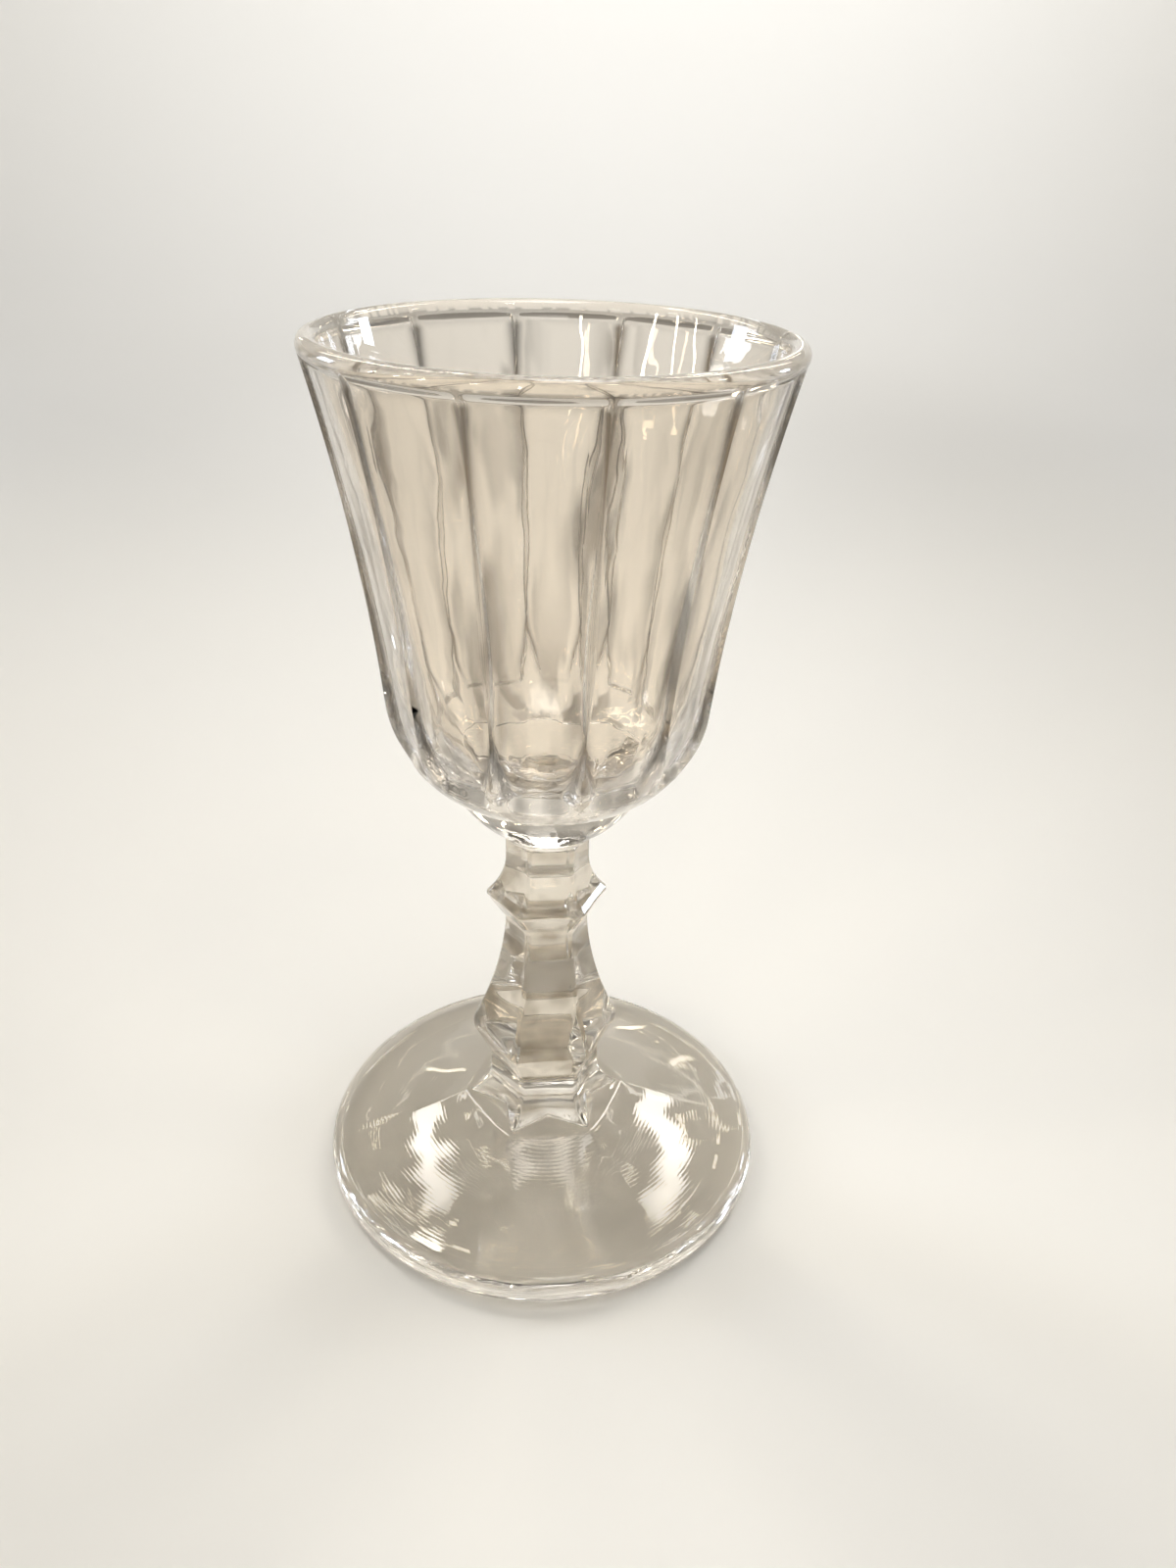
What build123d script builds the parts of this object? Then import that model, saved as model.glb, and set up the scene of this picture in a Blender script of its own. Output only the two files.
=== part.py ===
"""A small cordial glass: a fluted bowl, a six-sided stem and a round foot, three pieces of clear pressed glass.

Millimetres, +Z up. The origin is the centre of the plane that the foot stands on, and a flat of the stem faces -Y.
"""

import os
from math import cos, radians, sin

from build123d import *

# Heights of the three pieces, which stand on each other
foot_height = 9.3
stem_height = 42.0
bowl_height = 58.7

# Bowl: rises are measured from its underside
rim_diameter = 52.0
lip_wall = 2.2
lip_lean = 14.5
shoulder_diameter = 38.1
shoulder_rise = 18.2
shoulder_wall = 2.6
belly_diameter = 25.4
belly_rise = 7.7
belly_step = 0.5
underside_bulge = 0.7
seat_rise = 0.5
seat_margin = 0.4
bottom_thickness = 10.2
well_depth = 10.5

# Flutes pressed into the outside of the bowl
flute_count = 12
flute_turn = -9.2
lip_band = 2.0
flute_end_rise = 11.2
rib_top_width = 0.9
rib_low_width = 4.6
flute_top_depth = 0.6
flute_low_depth = 1.15
flute_corner = 0.8
flute_fillet = 0.4

# Stem: widths are across the flats, rises are measured from its bottom
neck_width = 9.2
ring_cove_rise = 38.2
ring_width = 13.6
ring_rise = 32.9
ring_edge = 0.4
waist_width = 9.3
waist_top_rise = 29.3
waist_low_rise = 28.2
waist_lean = 4.0
knop_width = 17.4
knop_rise = 12.2
knop_edge = 3.0
base_width = 12.8
base_rise = 7.1
toe_rise = 4.3
toe_reach = 3.0
toe_sweep = 0.22

# Foot
foot_diameter = 59.4
edge_thickness = 4.0
edge_margin = 1.4
toe_margin = 0.4
panel_hollow = 0.8
rest_ring_width = 3.4
hollow_rise = 2.4

# What follows from the sizes above
side_count = 6
front = -90
half_side = 180 / side_count
half_flute = 180 / flute_count
stem_base = foot_height
bowl_base = stem_base + stem_height
bowl_top = bowl_base + bowl_height
neck_corner = neck_width / 2 / cos(radians(half_side))
base_corner = base_width / 2 / cos(radians(half_side))
toe_radius = base_corner + toe_reach


def upright_plane(turn):
    """A plane through the axis: its x points outwards, turned from +X by an angle, and its y points up."""
    out = Vector(cos(radians(turn)), sin(radians(turn)), 0)
    return Plane(origin=(0, 0, 0), x_dir=out, z_dir=(out.Y, -out.X, 0))


def corner_points(radius, turn=0.0):
    """The six points of a circle on the stem's corners, or turned from them by an angle."""
    turns = [front + half_side + turn + 2 * half_side * side for side in range(side_count)]
    return [Vector(radius * cos(radians(t)), radius * sin(radians(t))) for t in turns]


# The wall leans outwards at the lip, which is a half round between these two points
lean_in = (-sin(radians(lip_lean)), -cos(radians(lip_lean)))
wall_out = Vector(cos(radians(lip_lean)), -sin(radians(lip_lean)))
lip_centre = Vector(rim_diameter / 2 - lip_wall / 2, bowl_top - lip_wall / 2)
lip_outer = lip_centre + wall_out * (lip_wall / 2)
lip_inner = lip_centre - wall_out * (lip_wall / 2)
shoulder = Vector(shoulder_diameter / 2, bowl_base + shoulder_rise)
belly = Vector(belly_diameter / 2, bowl_base + belly_rise)
ledge = belly - Vector(belly_step, 0)
seat = Vector(neck_corner + seat_margin, bowl_base)
well = Vector(0, bowl_base + bottom_thickness)
inner_shoulder = Vector(shoulder.X - shoulder_wall, well.Y + well_depth)

# One flute: a tapered outline with a round lower end, pressed in down to a floor that follows the wall
flute_top = bowl_top - lip_band
flute_end = bowl_base + flute_end_rise
flute_top_half = lip_outer.X * sin(radians(half_flute)) - rib_top_width / 2
flute_low_half = shoulder.X * sin(radians(half_flute)) - rib_low_width / 2
floor_top = lip_outer - wall_out * flute_top_depth
floor_shoulder = shoulder - Vector(flute_low_depth, 0)
floor_belly = belly - Vector(flute_low_depth, 0)

with BuildPart() as flute:
    with BuildSketch(Plane.XZ):
        with BuildLine():
            Polyline(
                (flute_low_half, flute_end + flute_low_half),
                (flute_top_half, flute_top),
                (-flute_top_half, flute_top),
                (-flute_low_half, flute_end + flute_low_half),
            )
            ThreePointArc(
                (-flute_low_half, flute_end + flute_low_half),
                (0, flute_end),
                (flute_low_half, flute_end + flute_low_half),
            )
        outline = make_face()
        fillet(outline.vertices().group_by(Axis.Y)[-1], radius=flute_corner)
    extrude(amount=rim_diameter)
    with BuildSketch(upright_plane(front)):
        with BuildLine():
            floor_flare = TangentArc(floor_top, floor_shoulder, tangent=lean_in)
            TangentArc(floor_shoulder, floor_belly, tangent=floor_flare % 1)
            Polyline(floor_belly, (0, floor_belly.Y), (0, floor_top.Y), floor_top)
        make_face()
    revolve(axis=Axis.Z, mode=Mode.SUBTRACT)
    upper_floor, lower_floor = flute.faces().sort_by(Axis.Y)[-2:]
    crossing = upper_floor.edges() & lower_floor.edges()
    fillet(upper_floor.edges() + lower_floor.edges() - crossing, radius=flute_fillet)

with BuildPart() as bowl:
    with BuildSketch(Plane.XZ):
        with BuildLine():
            CenterArc(lip_centre, lip_wall / 2, -lip_lean, 180)
            flare = TangentArc(lip_outer, shoulder, tangent=lean_in)
            TangentArc(shoulder, belly, tangent=flare % 1)
            Line(belly, ledge)
            SagittaArc(ledge, seat + Vector(0, seat_rise), underside_bulge)
            Polyline(seat + Vector(0, seat_rise), seat, (0, seat.Y), well)
            inner_wall = TangentArc(lip_inner, inner_shoulder, tangent=lean_in)
            Spline(inner_shoulder, well, tangents=(inner_wall % 1, (-1, 0)))
        make_face()
    revolve(axis=Axis.Z)
    with PolarLocations(0, flute_count, start_angle=flute_turn):
        add(flute.part, mode=Mode.SUBTRACT)

# Stem: every flat follows one outline, so the six-sided solid is what three crossing slabs have in common
with BuildPart() as stem:
    for pair in range(side_count // 2):
        with BuildSketch(upright_plane(front + 2 * half_side * pair)):
            with BuildLine():
                Polyline(
                    (0, stem_base + toe_rise),
                    (base_width / 2, stem_base + toe_rise),
                    (base_width / 2, stem_base + base_rise),
                    (knop_width / 2, stem_base + knop_rise),
                )
                TangentArc(
                    (waist_width / 2, stem_base + waist_low_rise),
                    (knop_width / 2, stem_base + knop_rise),
                    tangent=(sin(radians(waist_lean)), -cos(radians(waist_lean))),
                )
                Polyline(
                    (waist_width / 2, stem_base + waist_low_rise),
                    (waist_width / 2, stem_base + waist_top_rise),
                    (ring_width / 2, stem_base + ring_rise),
                )
                TangentArc(
                    (neck_width / 2, stem_base + ring_cove_rise),
                    (ring_width / 2, stem_base + ring_rise),
                    tangent=(0, -1),
                )
                Polyline(
                    (neck_width / 2, stem_base + ring_cove_rise),
                    (neck_width / 2, bowl_base),
                    (0, bowl_base),
                    (0, stem_base + toe_rise),
                )
            flat = make_face()
            knop_corner = flat.vertices().sort_by_distance((knop_width / 2, stem_base + knop_rise))[0]
            ring_corner = flat.vertices().sort_by_distance((ring_width / 2, stem_base + ring_rise))[0]
            fillet(knop_corner, radius=knop_edge)
            fillet(ring_corner, radius=ring_edge)
            mirror(about=Plane.YZ)
        extrude(amount=knop_width, both=True, mode=Mode.INTERSECT if pair else Mode.ADD)
    # Below the flats the six corners sweep outwards as toes, with hollow sides between them
    toe_levels = [
        (stem_base, toe_radius),
        (stem_base + toe_rise / 2, base_corner + toe_sweep * toe_reach),
        (stem_base + toe_rise, base_corner),
    ]
    for level, tip in toe_levels:
        with BuildSketch(Plane.XY.offset(level)):
            with BuildLine():
                tips = corner_points(tip)
                hollows = corner_points(base_width / 2, turn=half_side)
                Polyline(*[point for both in zip(tips, hollows) for point in both], close=True)
            make_face()
    loft()

# Foot: a round disc, hollow below, with six hollow panels that rise to a six-sided seat for the toes
edge_radius = foot_diameter / 2
panel_radius = edge_radius - edge_margin
seat_radius = toe_radius + toe_margin
hollow_level = (edge_thickness + foot_height) / 2 - panel_hollow
rest_radius = panel_radius - rest_ring_width

with BuildPart() as foot:
    with BuildSketch(Plane.XZ):
        with BuildLine():
            Polyline((0, edge_thickness), (panel_radius, edge_thickness))
            ThreePointArc((panel_radius, edge_thickness), (edge_radius, edge_thickness / 2), (panel_radius, 0))
            Line((panel_radius, 0), (rest_radius, 0))
            TangentArc((0, hollow_rise), (rest_radius, 0), tangent=(1, 0))
            Line((0, hollow_rise), (0, edge_thickness))
        make_face()
    revolve(axis=Axis.Z)
    # Halfway up, a panel's outline is halfway between the round edge and a side of the seat
    half_corner = (panel_radius + seat_radius) / 2
    half_flat = (panel_radius + seat_radius * cos(radians(half_side))) / 2
    for level, corner, flat in [(edge_thickness, panel_radius, panel_radius), (hollow_level, half_corner, half_flat)]:
        with BuildSketch(Plane.XY.offset(level)):
            with BuildLine():
                starts = corner_points(corner)
                middles = corner_points(flat, turn=half_side)
                for start, middle, end in zip(starts, middles, starts[1:] + starts[:1]):
                    ThreePointArc(start, middle, end)
            make_face()
    with BuildSketch(Plane.XY.offset(foot_height)):
        with BuildLine():
            Polyline(*corner_points(seat_radius), close=True)
        make_face()
    loft()

os.makedirs("parts", exist_ok=True)
bowl.part.label = "bowl"
stem.part.label = "stem"
foot.part.label = "foot"
export_step(bowl.part, "parts/bowl.step")
export_step(stem.part, "parts/stem.step")
export_step(foot.part, "parts/foot.step")
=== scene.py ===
"""A cordial glass of clear pressed glass, on a pale studio floor.

Its three pieces are a fluted bowl, a six-sided stem and a round foot with six panels.
"""

from math import atan2, cos, exp, hypot, pi, radians, sin, sqrt, tan

import bmesh
import bpy
from mathutils import Matrix, Vector, noise
from mathutils.geometry import interpolate_bezier


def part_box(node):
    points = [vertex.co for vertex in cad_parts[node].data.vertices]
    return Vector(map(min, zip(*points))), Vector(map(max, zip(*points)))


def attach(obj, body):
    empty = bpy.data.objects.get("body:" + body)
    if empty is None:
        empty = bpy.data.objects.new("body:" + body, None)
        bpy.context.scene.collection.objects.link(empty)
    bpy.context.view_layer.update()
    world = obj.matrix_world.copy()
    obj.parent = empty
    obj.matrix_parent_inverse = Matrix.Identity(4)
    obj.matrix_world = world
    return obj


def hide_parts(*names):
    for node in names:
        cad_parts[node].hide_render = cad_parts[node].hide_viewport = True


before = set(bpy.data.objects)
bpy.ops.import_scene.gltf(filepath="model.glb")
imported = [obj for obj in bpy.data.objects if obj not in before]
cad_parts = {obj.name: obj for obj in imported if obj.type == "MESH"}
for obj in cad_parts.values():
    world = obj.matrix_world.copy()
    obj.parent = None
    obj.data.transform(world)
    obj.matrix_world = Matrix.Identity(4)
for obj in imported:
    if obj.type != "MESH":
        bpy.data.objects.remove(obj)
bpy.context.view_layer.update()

MM = 0.001

# Places that are closer than this, in millimetres, count as the same
near = 0.01

# Heights at which the three pieces are welded to each other, and the radii of the CAD parts
foot_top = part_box("foot")[1][2] / MM
bowl_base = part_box("bowl")[0][2] / MM
bowl_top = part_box("bowl")[1][2] / MM
rim_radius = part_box("bowl")[1][0] / MM
foot_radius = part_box("foot")[1][0] / MM

# Bowl, in millimetres and degrees: rises are measured from its underside
lip_wall = 2.2
lip_lean = radians(14.5)
shoulder_radius = 19.05
shoulder_rise = 18.2
shoulder_wall = 2.6
belly_radius = 12.7
belly_rise = 7.7
belly_step = 0.5
underside_bulge = 0.7
seat_rise = 0.5
seat_radius = 5.71
bottom_thickness = 10.2
well_depth = 10.5
well_side_handle = 8.2
well_bottom_handle = 10.6
plunger_radius = 4.0
plunger_mark = 0.2
plunger_slope = 0.9

# Flutes in the outside of the bowl
flute_count = 12
flute_turn = radians(-9.2)
lip_band = 2.0
flute_end_rise = 11.2
rib_top_width = 0.9
rib_low_width = 4.6
flute_top_depth = 0.6
flute_low_depth = 1.15
flute_bed_radius = 30.0
flute_top_slope = 1.1
flute_end_slope = 2.6
rib_fullness = 0.7
rib_flare = 6

# Where shade is painted on the bowl, standing in for the darkness that its glass shows by leading light
# away: two attributes of its outside tell the material
painted_rib_shade_width = 0.85
painted_rib_shade_fade = 6.0
painted_streak_width = 2.8
painted_lip_shade_rise = 0.3
painted_lip_shade_width = 0.9
painted_lip_shade_strength = 0.75
painted_low_shade_rise = 28.0
painted_low_shade_fade = 16.0
painted_low_shade_strength = 0.8

# Waves left in the walls by pressing and fire polishing: their depth, their length round and along the wall,
# and how far from the lip and the belly they fade in
outer_wave = 0.1
inner_wave = 0.35
wave_across = 7.0
wave_along = 16.0
wave_lip_margin = 6.0
wave_belly_margin = 4.0

# Stem: widths are across the flats, rises are measured from its bottom
side_count = 6
neck_width = 9.2
ring_cove_rise = 38.2
ring_width = 13.6
ring_rise = 32.9
ring_edge = 0.4
waist_width = 9.3
waist_top_rise = 29.3
waist_low_rise = 28.2
waist_lean = radians(4.0)
knop_width = 17.4
knop_rise = 12.2
knop_edge = 3.0
base_width = 12.8
base_rise = 7.1
toe_rise = 4.3
toe_reach = 3.0
toe_sweep = 2.2
corner_round = 0.45

# Foot
edge_thickness = 4.0
edge_margin = 1.4
toe_margin = 0.4
panel_hollow = 0.8
rest_ring_width = 3.4
hollow_rise = 2.4

# Ripples in the skin of the glass: their length and depth
ripple_length = 5.0
ripple_depth = 0.04
lively_length = 2.4
lively_depth = 0.22
lively_top = 78.0
lively_full = 66.0
ring_spacing = 0.5
ring_depth = 0.0015
foot_wave_length = 9.0
foot_wave_depth = 0.2

# Painted shade in the glass, in streaks and clouds, standing in for the darkness that it shows by leading
# light away: their length
painted_streak_length = 4.0
painted_hue_length = 14.0
painted_cloud_length = 6.0

# The glass stands clear of the floor by the thickness of a speck of dust, so that light gets in under it
floor_gap = 0.1

# The turn of the front flat of the stem, which faces -Y
front = -pi / 2
half_side = pi / side_count

# How finely the meshes are divided
columns_per_flute = 32
columns = flute_count * columns_per_flute
flute_top_rows = 16
wall_rows = 44
belly_rows = 56
lip_rows = 16
inner_rows = 32
well_rows = 60
underside_rows = 16
foot_columns = side_count * 40
panel_rows = 24
foot_edge_rows = 28
hollow_rows = 24


def linear(hex_colour):
    """An sRGB hex colour as linear red, green, blue and alpha."""
    channels = [int(hex_colour[i : i + 2], 16) / 255 for i in (1, 3, 5)]
    return [c / 12.92 if c <= 0.04045 else ((c + 0.055) / 1.055) ** 2.4 for c in channels] + [1.0]


def node(tree, kind, settings=None, values=None, links=None):
    """Adds a shader node with its settings, its constant values and the outputs that feed it."""
    made = tree.nodes.new(kind)
    for name, value in (settings or {}).items():
        setattr(made, name, value)
    for name, value in (values or {}).items():
        made.inputs[name].default_value = value
    for name, output in (links or {}).items():
        tree.links.new(output, made.inputs[name])
    return made


# Outlines, drawn in the XZ plane: x is the distance from the axis


def point(radius, height):
    return Vector((radius * MM, 0, height * MM))


def arc_centre(start, end, heading):
    """The centre and the turn of the arc that leaves a point in a heading and ends at another point."""
    across = Vector((-heading.z, 0, heading.x))
    chord = end - start
    reach = chord.dot(across)
    centre = start + across * (chord.length_squared / (2 * reach))
    return centre, 2 * atan2(reach, chord.dot(heading))


def arc(bm, start, end, heading, steps):
    """Draws an arc from a vertex to a point and returns its last vertex and the heading there."""
    centre, turn = arc_centre(start.co, end, heading)
    made = bmesh.ops.spin(bm, geom=[start], cent=centre, axis=(0, -1, 0), angle=turn, steps=steps)
    last = [v for v in made["geom_last"] if isinstance(v, bmesh.types.BMVert)][0]
    last.co = end
    return last, turned(heading, turn)


def turned(heading, angle):
    """A heading turned in the plane of the outlines."""
    return Matrix.Rotation(angle, 3, (0, -1, 0)) @ heading


def bulged(start, end, bulge):
    """The heading in which an arc leaves a point to end at another and stand out from their chord."""
    chord = end - start
    return turned(chord.normalized(), 2 * atan2(2 * bulge * MM, chord.length))


def line(bm, start, end, steps=1):
    """Draws a straight stretch from a vertex to a point and returns its last vertex."""
    begin = start.co.copy()
    for step in range(steps):
        last = bm.verts.new(begin.lerp(end, (step + 1) / steps))
        bm.edges.new((start, last))
        start = last
    return last


def curve(bm, start, end, first_handle, last_handle, steps):
    """Draws a smooth curve from a vertex to a point and returns its last vertex."""
    places = interpolate_bezier(start.co, first_handle, last_handle, end, steps + 1)
    for place in places[1:]:
        start = line(bm, start, place)
    return start


def lathe(bm, steps, turn):
    """Spins the loose outline once round the axis, starting from an angle, and closes the seam."""
    bmesh.ops.rotate(bm, verts=bm.verts[:], cent=(0, 0, 0), matrix=Matrix.Rotation(turn, 3, "Z"))
    outline = bm.verts[:] + bm.edges[:]
    bmesh.ops.spin(
        bm,
        geom=outline,
        cent=(0, 0, 0),
        axis=(0, 0, 1),
        angle=2 * pi,
        steps=steps,
        use_merge=True,
    )
    bmesh.ops.remove_doubles(bm, verts=bm.verts[:], dist=0.002 * MM)


def finish(bm, name, materials, body="root"):
    """Makes an object of the shaped glass, which stands for the CAD node of its name."""
    bmesh.ops.recalc_face_normals(bm, faces=bm.faces[:])
    for face in bm.faces:
        face.smooth = True
    mesh = bpy.data.meshes.new(name + "_glass")
    bm.to_mesh(mesh)
    bm.free()
    for material in materials:
        mesh.materials.append(material)
    piece = bpy.data.objects.new(name + "_glass", mesh)
    bpy.context.scene.collection.objects.link(piece)
    piece.modifiers.new("flat_faces", "WEIGHTED_NORMAL")
    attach(piece, body)
    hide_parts(name)
    return piece


# Bowl


shoulder = point(shoulder_radius, bowl_base + shoulder_rise)
belly = point(belly_radius, bowl_base + belly_rise)
wall_out = Vector((cos(lip_lean), 0, -sin(lip_lean)))
lean_in = Vector((-sin(lip_lean), 0, -cos(lip_lean)))
lip_centre = point(rim_radius - lip_wall / 2, bowl_top - lip_wall / 2)
lip_outer = lip_centre + wall_out * (lip_wall / 2 * MM)
lip_inner = lip_centre - wall_out * (lip_wall / 2 * MM)
flute_top = bowl_top - lip_band
flute_end = bowl_base + flute_end_rise
flute_top_half = lip_outer.x / MM * sin(pi / flute_count) - rib_top_width / 2
flute_low_half = shoulder_radius * sin(pi / flute_count) - rib_low_width / 2
flute_round = flute_end + flute_low_half


def smooth_step(value):
    value = min(max(value, 0.0), 1.0)
    return value * value * (3 - 2 * value)


def flute_half(height):
    """Half the width of a flute at a height."""
    share = min(max((height - flute_round) / (flute_top - flute_round), 0.0), 1.0)
    return flute_low_half + (flute_top_half - flute_low_half) * (1 - (1 - share) ** rib_flare)


def flute_depth(beside, rib_half, height):
    """How much of a flute's depth a place has: none on the crest of a rib, all of it well beside the rib."""
    rib = max(1 - (beside / rib_half) ** 2, 0.0) ** rib_fullness
    top = smooth_step((flute_top - height) / flute_top_slope + 0.5)
    end = smooth_step((height - flute_end) / flute_end_slope)
    return (1 - rib) * top * end


def dim_edge(beside, rib_half, height):
    """How much shade is painted on a place: beside the ribs and in a band below the lip, standing in for the
    darkness that the glass shows there by leading light away.
    """
    rib_side = exp(-(((beside - rib_half) / painted_rib_shade_width) ** 2))
    top = smooth_step((flute_top - height) / flute_top_slope)
    end = smooth_step((height - flute_end) / painted_rib_shade_fade)
    lip_side = exp(-(((height - flute_top - painted_lip_shade_rise) / painted_lip_shade_width) ** 2))
    return max(rib_side * top * end, painted_lip_shade_strength * lip_side)


def floor_radius():
    """A function that gives the distance of the flute floors from the axis at a height."""
    top = lip_outer - wall_out * (flute_top_depth * MM)
    low = shoulder - Vector((flute_low_depth * MM, 0, 0))
    end = belly - Vector((flute_low_depth * MM, 0, 0))
    flare_centre, turn = arc_centre(top, low, lean_in)
    flare_radius = (top - flare_centre).length
    round_centre, turn = arc_centre(low, end, turned(lean_in, turn))
    round_radius = (low - round_centre).length

    def at(height):
        if height * MM > low.z:
            return (flare_centre.x - sqrt(flare_radius**2 - (height * MM - flare_centre.z) ** 2)) / MM
        return (round_centre.x + sqrt(max(round_radius**2 - (height * MM - round_centre.z) ** 2, 0))) / MM

    return at


def press_flutes(bm):
    """Gathers the columns of the wall at the ribs and presses the flutes in between them."""
    floor = floor_radius()
    pitch = 2 * pi / flute_count
    bed_share = 0.3
    least_bed = 0.1
    lip_blend = 0.5
    belly_blend = 3.0
    edge = bm.verts.layers.float.new("dim_edge")
    painted_streak_layer = bm.verts.layers.float.new("beside_rib")
    for vert in bm.verts:
        radius = hypot(vert.co.x, vert.co.y) / MM
        height = vert.co.z / MM
        turn = atan2(vert.co.y, vert.co.x) - front - flute_turn
        centre = round(turn / pitch) * pitch
        share = (turn - centre) / (pitch / 2)
        rib_half = radius * sin(pitch / 2) - flute_half(height)
        # The columns gather over the ribs and the painted shade beside them
        bed = max(1 - (rib_half + 2 * painted_rib_shade_width) / (radius * pitch / 2), least_bed)
        if abs(share) < bed_share:
            moved = abs(share) / bed_share * bed
        else:
            moved = 1 - (1 - bed) * cos(pi / 2 * (abs(share) - bed_share) / (1 - bed_share))
        # The columns are even where the lip and the underside join on
        below_lip = smooth_step((lip_outer.z / MM - height) / lip_blend)
        above_belly = smooth_step((height - belly.z / MM) / belly_blend)
        moved = abs(share) + (moved - abs(share)) * below_lip * above_belly
        angle = (1 if share > 0 else -1) * moved * pitch / 2
        across = radius * sin(angle)
        out = radius * cos(angle)
        beside = (1 - moved) * radius * pitch / 2
        depth = flute_depth(beside, rib_half, height)
        # Painted shade: how much the colour darkens beside the ribs and in a band below the lip
        vert[edge] = dim_edge(beside, rib_half, height)
        # Painted shade: how much painted streaks darken the colour beside the ribs and, more and more, low
        # on the wall
        low_down = painted_low_shade_strength * smooth_step((painted_low_shade_rise - (height - bowl_base)) / painted_low_shade_fade)
        vert[painted_streak_layer] = max(exp(-((beside / painted_streak_width) ** 2)), low_down)
        floor_out = floor(height) - across**2 / (2 * flute_bed_radius)
        out += (min(floor_out, out) - out) * depth
        heading = front + flute_turn + centre
        vert.co.x = (out * cos(heading) - across * sin(heading)) * MM
        vert.co.y = (out * sin(heading) + across * cos(heading)) * MM


def unevenness(bm, depth):
    """Leaves the wall a little wavy, as pressing and fire polishing do, but not at the lip and the belly."""
    for vert in bm.verts:
        radius = hypot(vert.co.x, vert.co.y)
        height = vert.co.z / MM
        below_lip = smooth_step((lip_inner.z / MM - height) / wave_lip_margin)
        above_belly = smooth_step((height - belly.z / MM) / wave_belly_margin)
        spot = Vector((vert.co.x / wave_across, vert.co.y / wave_across, vert.co.z / wave_along)) / MM
        wave = noise.noise(spot) * below_lip * above_belly
        if radius > 1 * MM:
            push = 1 + depth * MM * wave / radius
            vert.co.x *= push
            vert.co.y *= push


def hexagon_radius(turn, flat_half):
    """The distance from the axis to a six-sided outline in a direction."""
    aside = (turn - front + half_side) % (2 * half_side) - half_side
    return flat_half / cos(aside)


def weld_outline(piece, height):
    """A function that gives the distance from the axis to a piece's outline at a height, in a direction."""
    level = [v.co.xy for v in piece.data.vertices if abs(v.co.z - height * MM) < near * MM]
    ring = sorted(level, key=lambda v: atan2(v.y, v.x))

    def at(turn):
        heading = Vector((cos(turn), sin(turn)))
        for one, two in zip(ring, ring[1:] + ring[:1]):
            if heading.cross(one) <= 0 <= heading.cross(two) and heading.dot(one + two) > 0:
                return one.cross(two) / (heading.cross(two) - heading.cross(one))
        return 0.0

    return at


def bowl_outside(bm):
    """The outer wall from the lip down to the belly, with its flutes."""
    start = bm.verts.new(lip_outer)
    centre, turn = arc_centre(lip_outer, shoulder, lean_in)
    # The rows are closer together where the flutes begin
    top_share = 0.055
    top_end = centre + turned(lip_outer - centre, turn * top_share)
    last, heading = arc(bm, start, top_end, lean_in, flute_top_rows)
    last, heading = arc(bm, last, shoulder, heading, wall_rows)
    arc(bm, last, belly, heading, belly_rows)
    lathe(bm, columns, front + flute_turn)
    press_flutes(bm)
    unevenness(bm, outer_wave)


def bowl_inside(bm):
    """The half round of the lip, the inner wall and the round bottom of the well."""
    well = point(0, bowl_base + bottom_thickness)
    inner_shoulder = point(shoulder_radius - shoulder_wall, bowl_base + bottom_thickness + well_depth)
    start = bm.verts.new(lip_outer)
    last, _ = arc(bm, start, lip_inner, -lean_in, lip_rows)
    last, heading = arc(bm, last, inner_shoulder, lean_in, inner_rows)
    first_handle = inner_shoulder + heading * (well_side_handle * MM)
    last_handle = point(well_bottom_handle, bowl_base + bottom_thickness)
    curve(bm, last, well, first_handle, last_handle, well_rows)
    for vert in bm.verts:
        # The tip of the plunger leaves a flat dimple in the well
        if vert.co.z < inner_shoulder.z:
            inward = smooth_step((plunger_radius - vert.co.x / MM) / plunger_slope)
            vert.co.z -= plunger_mark * MM * inward
    lathe(bm, columns, front + flute_turn)
    unevenness(bm, inner_wave)


def bowl_underside(bm, neck):
    """The step under the belly, the rounded underside and the seat on the stem."""
    ledge = belly - Vector((belly_step * MM, 0, 0))
    seat_top = point(seat_radius, bowl_base + seat_rise)
    start = bm.verts.new(belly)
    last = line(bm, start, ledge, 3)
    last, _ = arc(bm, last, seat_top, bulged(ledge, seat_top, underside_bulge), underside_rows)
    last = line(bm, last, point(seat_radius, bowl_base), 3)
    last = line(bm, last, point(neck_width / 2, bowl_base))
    line(bm, last, point(0, bowl_base))
    lathe(bm, columns, front + flute_turn)
    # The stem's outline on the seat, inside which the two pieces are one glass
    for vert in bm.verts:
        radius = hypot(vert.co.x, vert.co.y)
        on_seat = abs(vert.co.z - bowl_base * MM) < near * MM
        if on_seat and abs(radius - neck_width / 2 * MM) < near * MM:
            to = neck(atan2(vert.co.y, vert.co.x)) / radius
            vert.co.x *= to
            vert.co.y *= to


def joined(*makers):
    """One mesh from several stretches of wall, each drawn and spun by its own function."""
    bm = bmesh.new()
    for maker in makers:
        part = bmesh.new()
        maker(part)
        mesh = bpy.data.meshes.new("stretch")
        part.to_mesh(mesh)
        part.free()
        bm.from_mesh(mesh)
        bpy.data.meshes.remove(mesh)
    bmesh.ops.remove_doubles(bm, verts=bm.verts[:], dist=0.004 * MM)
    return bm


def weld_faces(bm, height, outline):
    """Gives the faces of a weld the second material: they lie at one height, inside an outline."""
    for face in bm.faces:
        centre = face.calc_center_median()
        level = all(abs(v.co.z - height * MM) < near * MM for v in face.verts)
        if level and hypot(centre.x, centre.y) < outline(atan2(centre.y, centre.x)):
            face.material_index = 1


def make_bowl(materials, stem):
    neck = weld_outline(stem, bowl_base)
    bm = joined(bowl_outside, bowl_inside, lambda part: bowl_underside(part, neck))
    weld_faces(bm, bowl_base, neck)
    return finish(bm, "bowl", materials)


# Stem


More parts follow.
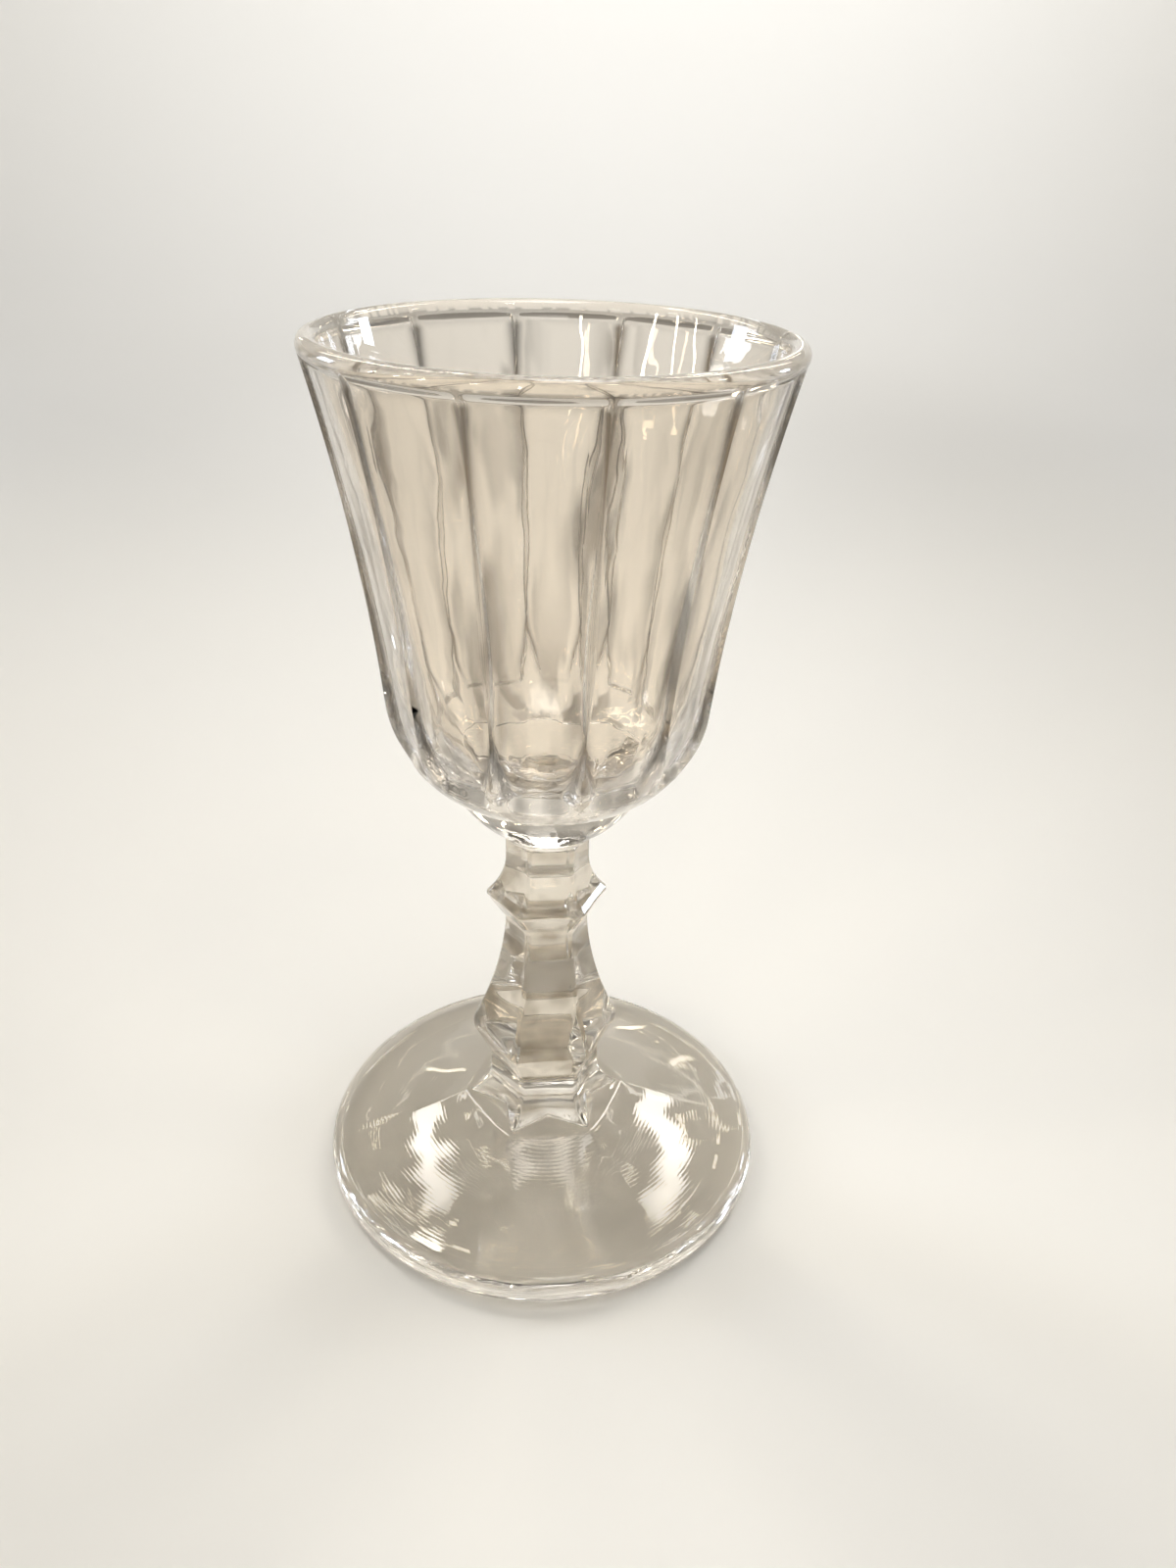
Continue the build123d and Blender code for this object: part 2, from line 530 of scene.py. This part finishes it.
def rounded_arc(bm, start, corner, heading, onward, radius, steps):
    """Draws an arc towards a corner and rounds the corner to the point where the next stretch goes on."""
    centre, turn = arc_centre(start.co, corner, heading)
    cut = radius * MM * tan(turned(heading, turn).angle(onward) / 2)
    short = turn - cut / (corner - centre).length * (1 if turn > 0 else -1)
    stop = centre + turned(start.co - centre, short)
    last, heading = arc(bm, start, stop, heading, steps)
    return arc(bm, last, corner + onward * cut, heading, 6)[0]


def stem_outline(bm):
    """The flats' outline from the weld under the bowl down to the weld on the foot."""
    down = Vector((0, 0, -1))
    lean = Vector((sin(waist_lean), 0, -cos(waist_lean)))
    ring = point(ring_width / 2, foot_top + ring_rise)
    waist = point(waist_width / 2, foot_top + waist_top_rise)
    knop = point(knop_width / 2, foot_top + knop_rise)
    base = point(base_width / 2, foot_top + base_rise)
    start = bm.verts.new(point(neck_width / 2, bowl_base))
    last = line(bm, start, point(neck_width / 2, foot_top + ring_cove_rise), 4)
    last = rounded_arc(bm, last, ring, down, (waist - ring).normalized(), ring_edge, 14)
    last = line(bm, last, waist, 5)
    last = line(bm, last, point(waist_width / 2, foot_top + waist_low_rise), 2)
    last = rounded_arc(bm, last, knop, lean, (base - knop).normalized(), knop_edge, 22)
    last = line(bm, last, base, 6)
    last = line(bm, last, point(base_width / 2, foot_top + toe_rise), 3)
    line(bm, last, point(base_width / 2, foot_top), 8)


def toe_tip(height):
    """The distance of the stem's corners from the axis, which sweep out as toes near the foot."""
    corner = base_width / 2 / cos(half_side)
    share = min(max(1 - (height - foot_top) / toe_rise, 0.0), 1.0)
    return corner + toe_reach * share**toe_sweep


def make_stem(materials):
    bm = bmesh.new()
    stem_outline(bm)
    lathe(bm, 2 * side_count, front)
    for vert in bm.verts:
        turn = atan2(vert.co.y, vert.co.x)
        flat_half = hypot(vert.co.x, vert.co.y) / MM
        if flat_half < near:
            continue
        corner = abs(round((turn - front) / half_side)) % 2 == 1
        radius = flat_half
        if corner:
            radius = flat_half / cos(half_side)
            if vert.co.z / MM < foot_top + toe_rise - near:
                radius = toe_tip(vert.co.z / MM)
        vert.co.x = radius * cos(turn) * MM
        vert.co.y = radius * sin(turn) * MM
    long_edges = []
    for edge in bm.edges:
        a, b = edge.verts
        turns = [atan2(v.co.y, v.co.x) - front for v in (a, b)]
        upright = abs((turns[0] - turns[1] + pi) % (2 * pi) - pi) < radians(0.5)
        if upright and abs(round(turns[0] / half_side)) % 2 == 1:
            long_edges.append(edge)
    bmesh.ops.bevel(
        bm,
        geom=long_edges,
        offset=corner_round * MM,
        offset_type="OFFSET",
        segments=3,
        profile=0.5,
        affect="EDGES",
        material=-1,
    )
    caps = bmesh.ops.holes_fill(bm, edges=[e for e in bm.edges if e.is_boundary], sides=0)
    for face in caps["faces"]:
        face.material_index = 1
    return finish(bm, "stem", materials)


# Foot


def make_foot(materials, stem):
    star = weld_outline(stem, foot_top)
    panel_radius = foot_radius - edge_margin
    rest_radius = panel_radius - rest_ring_width
    seat_half = (toe_tip(foot_top) + toe_margin) * cos(half_side)
    bm = bmesh.new()
    start = bm.verts.new(point(0, foot_top))
    last = line(bm, start, point(base_width / 2, foot_top))
    last = line(bm, last, point(seat_half, foot_top))
    panel_edge = point(panel_radius, edge_thickness)
    last, _ = arc(bm, last, panel_edge, bulged(last.co, panel_edge, -panel_hollow), panel_rows)
    edge_low = point(panel_radius, 0)
    last, _ = arc(bm, last, edge_low, bulged(last.co, edge_low, edge_margin), foot_edge_rows)
    last = line(bm, last, point(rest_radius, 0), 4)
    lean = 2 * atan2(hollow_rise, rest_radius)
    arc(bm, last, point(0, hollow_rise), Vector((-cos(lean), 0, sin(lean))), hollow_rows)
    lathe(bm, foot_columns, front)
    for vert in bm.verts:
        radius = hypot(vert.co.x, vert.co.y) / MM
        height = vert.co.z / MM
        turn = atan2(vert.co.y, vert.co.x)
        if height < edge_thickness - near / 10 or radius < near or radius > panel_radius:
            continue
        if radius < base_width / 2 + near:
            wanted = star(turn) / MM
        else:
            share = (panel_radius - radius) / (panel_radius - seat_half)
            wanted = panel_radius + (hexagon_radius(turn, seat_half) - panel_radius) * share
        vert.co.x *= wanted / radius
        vert.co.y *= wanted / radius
    weld_faces(bm, foot_top, star)
    return finish(bm, "foot", materials)


# Glass


def clear_glass(name, colour, heights):
    """Soda-lime glass, smooth and faintly warm: it bends what is behind it, and lamps waver in its skin."""
    material = bpy.data.materials.new(name)
    material.use_nodes = True
    tree = material.node_tree
    shader = tree.nodes["Principled BSDF"]
    shader.inputs["Base Color"].default_value = linear(colour)
    shader.inputs["Roughness"].default_value = 0.0
    shader.inputs["IOR"].default_value = 1.52
    shader.inputs["Transmission Weight"].default_value = 1.0
    place = node(tree, "ShaderNodeTexCoord").outputs["Object"]
    skin = heights(tree, place)
    bump = node(tree, "ShaderNodeBump", values={"Distance": MM}, links={"Height": skin})
    tree.links.new(bump.outputs["Normal"], shader.inputs["Normal"])
    return material, tree, shader, place


def slow_ripple(tree, place):
    """The skin's slow ripple from fire polishing, in millimetres: straight edges behind it waver."""
    grain = {"Scale": 1 / (ripple_length * MM), "Detail": 1.0}
    ripple = node(tree, "ShaderNodeTexNoise", values=grain, links={"Vector": place})
    height = node(
        tree,
        "ShaderNodeMapRange",
        {"interpolation_type": "SMOOTHSTEP"},
        {"To Max": ripple_depth},
        {"Value": ripple.outputs["Fac"]},
    )
    return height.outputs["Result"]


def bowl_skin(tree, place):
    """The bowl's skin, in millimetres: slow ripples, and livelier upright ones low down in thick glass."""
    parts = node(tree, "ShaderNodeSeparateXYZ", links={"Vector": place})
    low_down = node(
        tree,
        "ShaderNodeMapRange",
        {"interpolation_type": "SMOOTHSTEP"},
        {"From Min": lively_top * MM, "From Max": lively_full * MM, "To Max": lively_depth},
        {"Value": parts.outputs["Z"]},
    )
    tall = node(tree, "ShaderNodeMapping", values={"Scale": (1, 1, 0.35)}, links={"Vector": place})
    grain = {"Scale": 1 / (lively_length * MM), "Detail": 1.0}
    lively = node(tree, "ShaderNodeTexNoise", values=grain, links={"Vector": tall.outputs["Vector"]})
    height = node(
        tree,
        "ShaderNodeMath",
        {"operation": "MULTIPLY_ADD"},
        links={0: lively.outputs["Fac"], 1: low_down.outputs["Result"], 2: slow_ripple(tree, place)},
    )
    return height.outputs["Value"]


def turned_skin(tree, place):
    """The foot's skin, in millimetres: slow waves, which bend the lamps' images, and faint turning marks."""
    # At a scale of 1 the rings lie 0.314 apart
    rings = node(
        tree,
        "ShaderNodeTexWave",
        {"wave_type": "RINGS", "rings_direction": "Z"},
        {"Scale": 0.314 / (ring_spacing * MM), "Distortion": 0.6, "Detail": 1.0, "Detail Scale": 0.2},
        {"Vector": place},
    )
    marks = node(
        tree,
        "ShaderNodeMapRange",
        {"interpolation_type": "SMOOTHSTEP"},
        {"To Max": ring_depth},
        {"Value": rings.outputs["Fac"]},
    )
    grain = {"Scale": 1 / (foot_wave_length * MM), "Detail": 1.0}
    wave = node(tree, "ShaderNodeTexNoise", values=grain, links={"Vector": place})
    waves = node(
        tree,
        "ShaderNodeMapRange",
        {"interpolation_type": "SMOOTHSTEP"},
        {"To Max": foot_wave_depth},
        {"Value": wave.outputs["Fac"]},
    )
    both = {0: marks.outputs["Result"], 1: waves.outputs["Result"]}
    height = node(tree, "ShaderNodeMath", {"operation": "ADD"}, links=both)
    return height.outputs["Value"]


def fluted_glass():
    """The bowl's glass: clear, but with painted grey or brown shade along the ribs, below the lip and low
    down, standing in for the darkness that the glass shows there by leading light away.
    """
    material, tree, shader, place = clear_glass("fire_polished_bowl_glass_with_painted_shade", "#f9f3ea", bowl_skin)
    # Painted shade: upright streaks of dark colour, beside the ribs and low on the wall
    tall = node(tree, "ShaderNodeMapping", values={"Scale": (1, 1, 0.12)}, links={"Vector": place})
    grain = {"Scale": 1 / (painted_streak_length * MM)}
    painted_streak_noise = node(tree, "ShaderNodeTexNoise", values=grain, links={"Vector": tall.outputs["Vector"]})
    streak = node(
        tree,
        "ShaderNodeMapRange",
        {"interpolation_type": "SMOOTHSTEP"},
        {"From Min": 0.45, "From Max": 0.6, "To Max": 0.85},
        {"Value": painted_streak_noise.outputs["Fac"]},
    )
    beside = node(tree, "ShaderNodeAttribute", {"attribute_name": "beside_rib"})
    along = {0: streak.outputs["Result"], 1: beside.outputs["Fac"]}
    streaks = node(tree, "ShaderNodeMath", {"operation": "MULTIPLY"}, links=along)
    # Painted shade beside the ribs and below the lip
    edge = node(tree, "ShaderNodeAttribute", {"attribute_name": "dim_edge"})
    either = {0: edge.outputs["Fac"], 1: streaks.outputs["Value"]}
    painted_dark = node(tree, "ShaderNodeMath", {"operation": "MAXIMUM"}, links=either)
    patch = {"Scale": 1 / (painted_hue_length * MM)}
    shade_cloud = node(tree, "ShaderNodeTexNoise", values=patch, links={"Vector": place})
    hue = node(tree, "ShaderNodeValToRGB", links={"Fac": shade_cloud.outputs["Fac"]})
    grey, brown = hue.color_ramp.elements
    grey.position, grey.color = 0.42, linear("#45423d")
    brown.position, brown.color = 0.58, linear("#4d3d27")
    # Painted shade: the clear colour turns to dark grey or brown where the shade is painted
    painted_shade_tint = node(
        tree,
        "ShaderNodeMix",
        {"data_type": "RGBA"},
        {"A": shader.inputs["Base Color"].default_value},
        {"Factor": painted_dark.outputs["Value"], "B": hue.outputs["Color"]},
    )
    tree.links.new(painted_shade_tint.outputs["Result"], shader.inputs["Base Color"])
    return material


def stem_glass():
    """The stem's glass: clear, with faint brown clouds of painted shade, at random, standing in for the
    darkness that the solid glass shows by leading light away.
    """
    material, tree, shader, place = clear_glass("pressed_stem_glass_with_painted_shade", "#e9e2d6", slow_ripple)
    patch = {"Scale": 1 / (painted_cloud_length * MM)}
    shade_cloud = node(tree, "ShaderNodeTexNoise", values=patch, links={"Vector": place})
    # Painted shade: random clouds in which the colour darkens to brown-grey
    shade = node(tree, "ShaderNodeValToRGB", links={"Fac": shade_cloud.outputs["Fac"]})
    light, painted_dark = shade.color_ramp.elements
    light.position, light.color = 0.48, shader.inputs["Base Color"].default_value
    painted_dark.position, painted_dark.color = 0.66, linear("#a89d8c")
    tree.links.new(shade.outputs["Color"], shader.inputs["Base Color"])
    return material


def weld():
    """Where two pieces of glass melted into one, there is no surface left to see."""
    material = bpy.data.materials.new("melted_weld")
    material.use_nodes = True
    material.node_tree.nodes["Principled BSDF"].inputs["Alpha"].default_value = 0.0
    return material


# Studio


def studio_camera():
    """The photograph's view: from above the rim, close to the glass."""
    side, back, height = 4.84, -131.03, 129.11
    heading, pitch, roll = radians(7.7), radians(28.59), radians(1.85)
    picture_height, focal_length = 1600, 1247.4
    data = bpy.data.cameras.new("camera")
    data.sensor_fit = "VERTICAL"
    data.sensor_height = 36
    data.lens = data.sensor_height * focal_length / picture_height
    data.clip_start = 0.005
    camera = bpy.data.objects.new("camera", data)
    place = Matrix.Translation(Vector((side, back, height)) * MM)
    tilt = Matrix.Rotation(pi / 2 - pitch, 4, "X") @ Matrix.Rotation(roll, 4, "Z")
    camera.matrix_world = Matrix.Rotation(-heading, 4, "Z") @ place @ tilt
    bpy.context.scene.collection.objects.link(camera)
    bpy.context.scene.camera = camera


def studio_floor():
    """A sweep of pale matt paper, round on all sides, so that no corner shows in the glass."""
    flat_radius, sweep_radius, sweep_height = 700, 1000, 300
    bm = bmesh.new()
    start = bm.verts.new(point(0, -floor_gap))
    last = line(bm, start, point(flat_radius, -floor_gap), 2)
    arc(bm, last, point(sweep_radius, sweep_height), Vector((1, 0, 0)), 16)
    lathe(bm, 96, 0)
    bmesh.ops.recalc_face_normals(bm, faces=bm.faces[:])
    for face in bm.faces:
        face.smooth = True
    mesh = bpy.data.meshes.new("studio_sweep")
    bm.to_mesh(mesh)
    bm.free()
    material = bpy.data.materials.new("pale_paper")
    material.use_nodes = True
    shader = material.node_tree.nodes["Principled BSDF"]
    shader.inputs["Base Color"].default_value = linear("#f0efec")
    shader.inputs["Roughness"].default_value = 0.9
    shader.inputs["Specular IOR Level"].default_value = 0.1
    mesh.materials.append(material)
    sweep = bpy.data.objects.new("studio_sweep", mesh)
    bpy.context.scene.collection.objects.link(sweep)


def lamp(name, turn, rise, reach, size, power, colour, aim=(0, 0, 0.06), spread=180):
    """A flat lamp in a direction from the glass: turned from +Y towards +X, and raised, both in degrees."""
    turn, rise = radians(turn), radians(rise)
    place = Vector(aim) + Vector((sin(turn) * cos(rise), cos(turn) * cos(rise), sin(rise))) * reach
    data = bpy.data.lights.new(name, "AREA")
    data.shape = "RECTANGLE"
    data.size, data.size_y = size
    data.energy = power
    data.spread = radians(spread)
    data.color = linear(colour)[:3]
    made = bpy.data.objects.new(name, data)
    made.location = place
    made.rotation_euler = (Vector(aim) - place).to_track_quat("-Z", "Y").to_euler()
    bpy.context.scene.collection.objects.link(made)


def studio_light():
    """Plain soft light: pale air that darkens upwards, soft lamps, and small ones that glint in glass."""
    world = bpy.data.worlds.new("studio_air")
    bpy.context.scene.world = world
    world.use_nodes = True
    tree = world.node_tree
    back = tree.nodes["Background"]
    place = node(tree, "ShaderNodeTexCoord")
    parts = node(tree, "ShaderNodeSeparateXYZ", links={"Vector": place.outputs["Generated"]})
    fade = node(tree, "ShaderNodeValToRGB", links={"Fac": parts.outputs["Z"]})
    low, high = fade.color_ramp.elements
    low.position, low.color = 0.32, linear("#b4b1aa")
    high.position, high.color = 0.75, linear("#5a5856")
    tree.links.new(fade.outputs["Color"], back.inputs["Color"])
    lamp("overhead", 0, 89, 0.45, (0.12, 0.8), 0.15, "#ffffff", aim=(0.03, 0.14, 0), spread=50)
    lamp("backdrop", 180, 60, 0.5, (0.6, 0.2), 1.7, "#ffffff", aim=(0.12, 0.95, 0.1))
    lamp("tube_left", -40, 46, 0.75, (0.06, 0.5), 0.115, "#fffaf0", aim=(0, 0, 0.01), spread=50)
    lamp("tube_right", 47, 44, 0.75, (0.06, 0.5), 0.115, "#fffaf0", aim=(0, 0, 0.01), spread=50)
    lamp("window_right", 68, 9, 0.8, (0.11, 0.13), 0.85, "#e2edff", aim=(0, 0, 0.09))
    lamp("window_left", -60, 12, 0.8, (0.15, 0.2), 1.2, "#e2edff", aim=(0, 0, 0.09))
    for turn in (-160, -117, -104, -92):
        lamp("slit", turn, 16, 0.8, (0.016, 0.2), 0.4, "#fff4e0", aim=(0, 0, 0.1))
    for turn, rise in ((-20, 58), (25, 40), (100, 35), (150, 60), (-100, 42), (-140, 30)):
        lamp("spark", turn, rise, 0.8, (0.06, 0.06), 0.26, "#fff7e6")
    right_bars = ((33, 56), (62, 37), (35, 38), (60, 56), (19, 17), (27, 24))
    left_bars = ((-27, 54), (-54, 38), (-56, 57), (-28, 37), (-19, 17))
    for turn, rise in right_bars + left_bars:
        lamp("bar", turn, rise, 0.8, (0.012, 0.08), 0.03, "#fff3dc", aim=(0, 0, 0.01))


melted = weld()
stem = make_stem([stem_glass(), melted])
make_bowl([fluted_glass(), melted], stem)
make_foot([clear_glass("turned_foot_glass", "#fdf9f2", turned_skin)[0], melted], stem)
studio_floor()
studio_light()
studio_camera()
bpy.context.scene.view_settings.view_transform = "Standard"
# Light that is led down inside a wall meets many surfaces before it comes out
bpy.context.scene.cycles.max_bounces = 64
bpy.context.scene.cycles.glossy_bounces = 64
bpy.context.scene.cycles.transmission_bounces = 64
